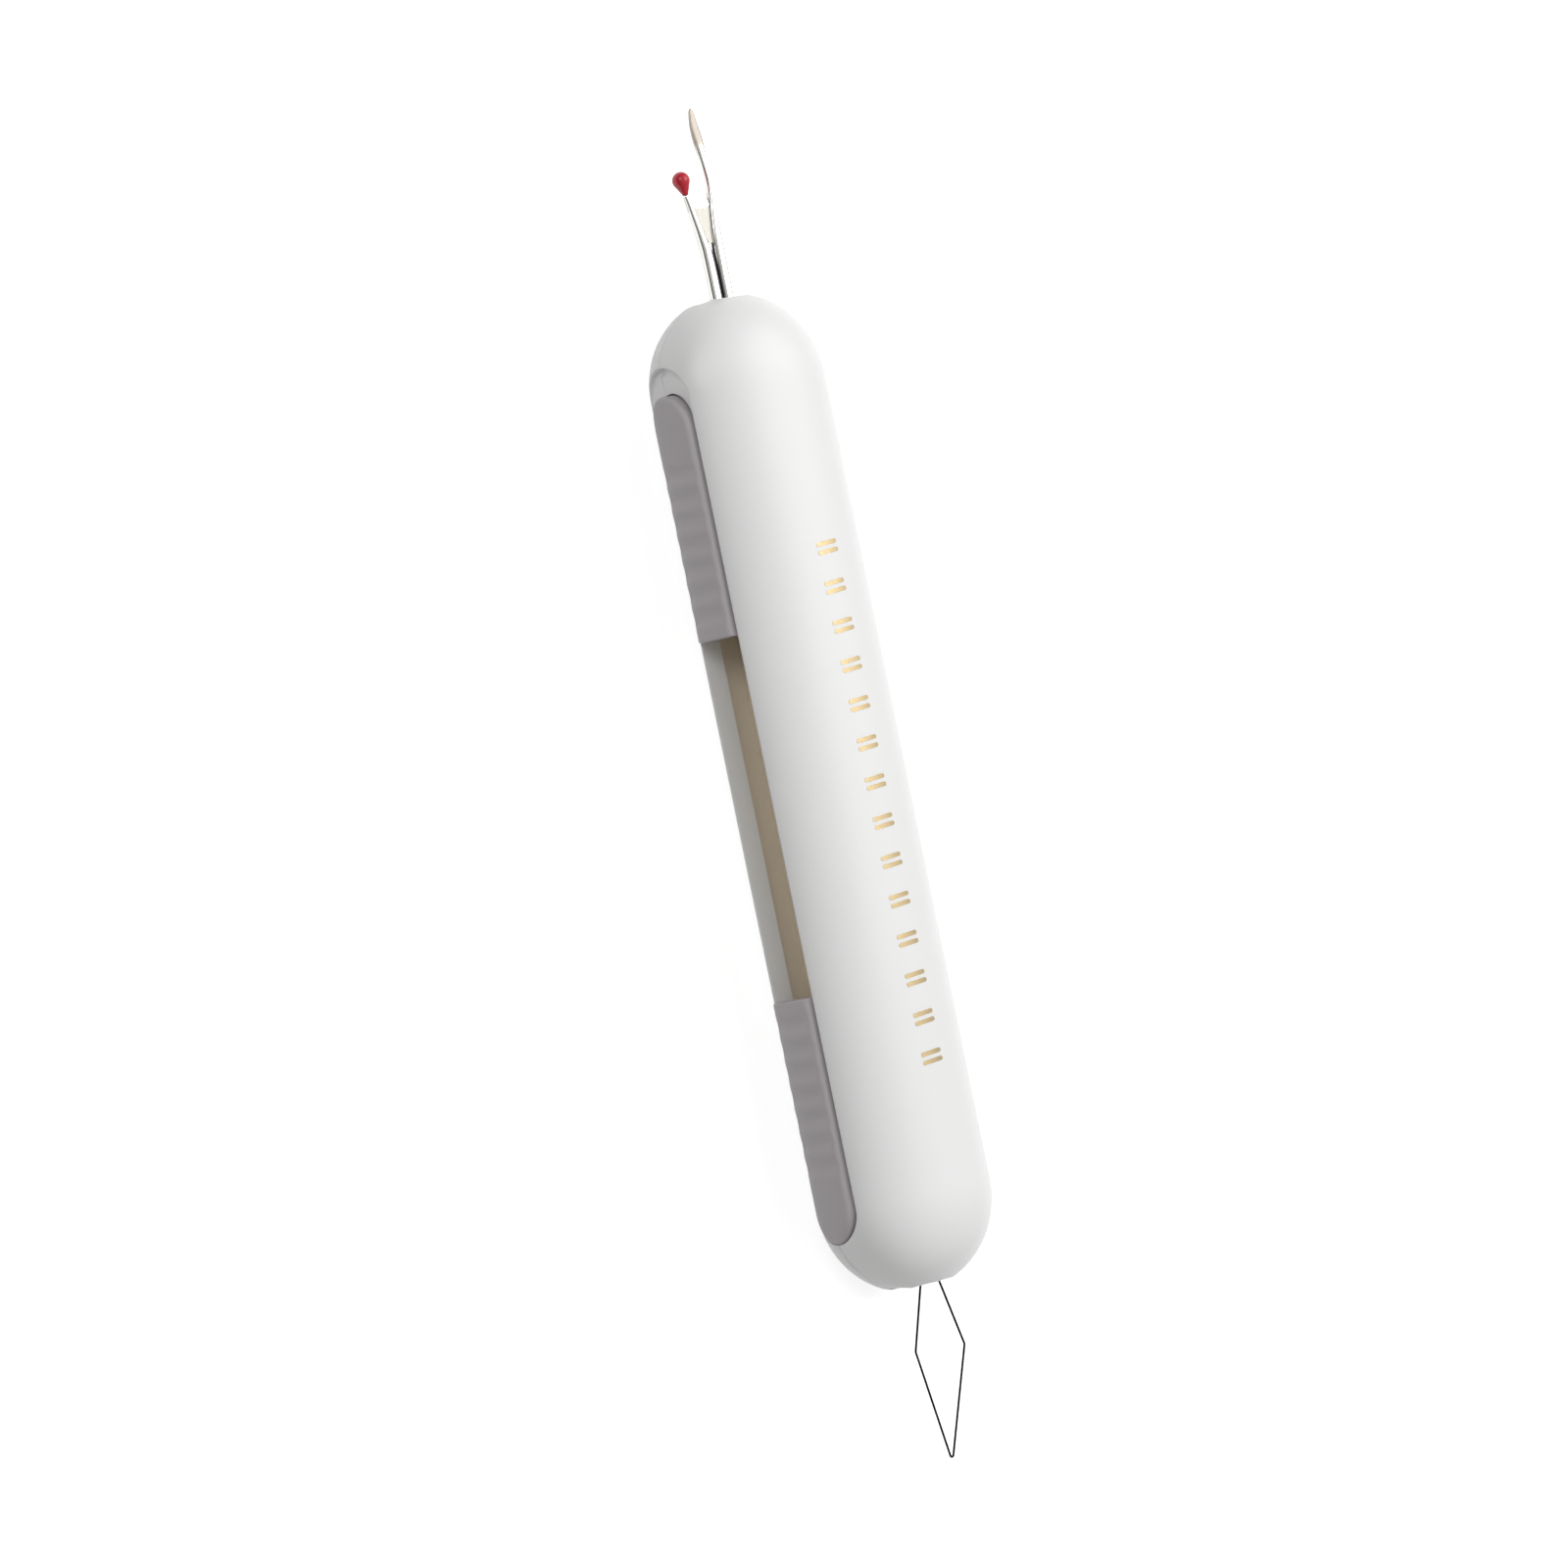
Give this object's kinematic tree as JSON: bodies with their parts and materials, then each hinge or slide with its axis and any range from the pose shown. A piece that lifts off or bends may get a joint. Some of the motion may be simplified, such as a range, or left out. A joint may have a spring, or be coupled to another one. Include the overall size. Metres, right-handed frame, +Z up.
{
  "type": "retractable needle threader with seam ripper",
  "caption": "Slim oval pocket tool whose slide buttons push a diamond wire needle threader out of one end and a seam ripper with a ball-tipped prong out of the other.",
  "frame": {"origin": "middle of the flat land that the back shell rests on", "axes": "+Y runs along the body towards the seam ripper, +Z is up through the thickness towards the printed front, and the slot with its two buttons faces -X"},
  "size_m": [0.0197, 0.1397, 0.0129],
  "materials": {
    "white_body_plastic": "satin white moulding",
    "grey_button_plastic": "fine matte moulding",
    "natural_carriage_plastic": "natural uncoloured resin",
    "spring_steel": "bright strip",
    "polished_ripper_steel": "polished, ground at the cutting edge",
    "red_ball_plastic": "glossy dipped",
    "plated_ferrule": "nickel plated",
    "dark_threader_wire": "dark drawn wire"
  },
  "bodies": {
    "housing": {"front_shell": "white_body_plastic", "back_shell": "white_body_plastic"},
    "ripper": {"ripper_button": "grey_button_plastic", "ripper_carriage": "natural_carriage_plastic", "ripper_detent_spring": "spring_steel", "ripper_blade": "polished_ripper_steel", "ripper_ball": "red_ball_plastic"},
    "threader": {"threader_button": "grey_button_plastic", "threader_carriage": "natural_carriage_plastic", "threader_detent_spring": "spring_steel", "threader_ferrule": "plated_ferrule", "threader_wire_loop": "dark_threader_wire"}
  },
  "joints": [
    {"name": "ripper_slide", "type": "slide", "parent": "housing", "child": "ripper", "axis": [0, 1, 0], "range_m": [-0.0194, 0]},
    {"name": "threader_slide", "type": "slide", "parent": "housing", "child": "threader", "axis": [0, -1, 0], "range_m": [-0.0177, 0]}
  ]
}
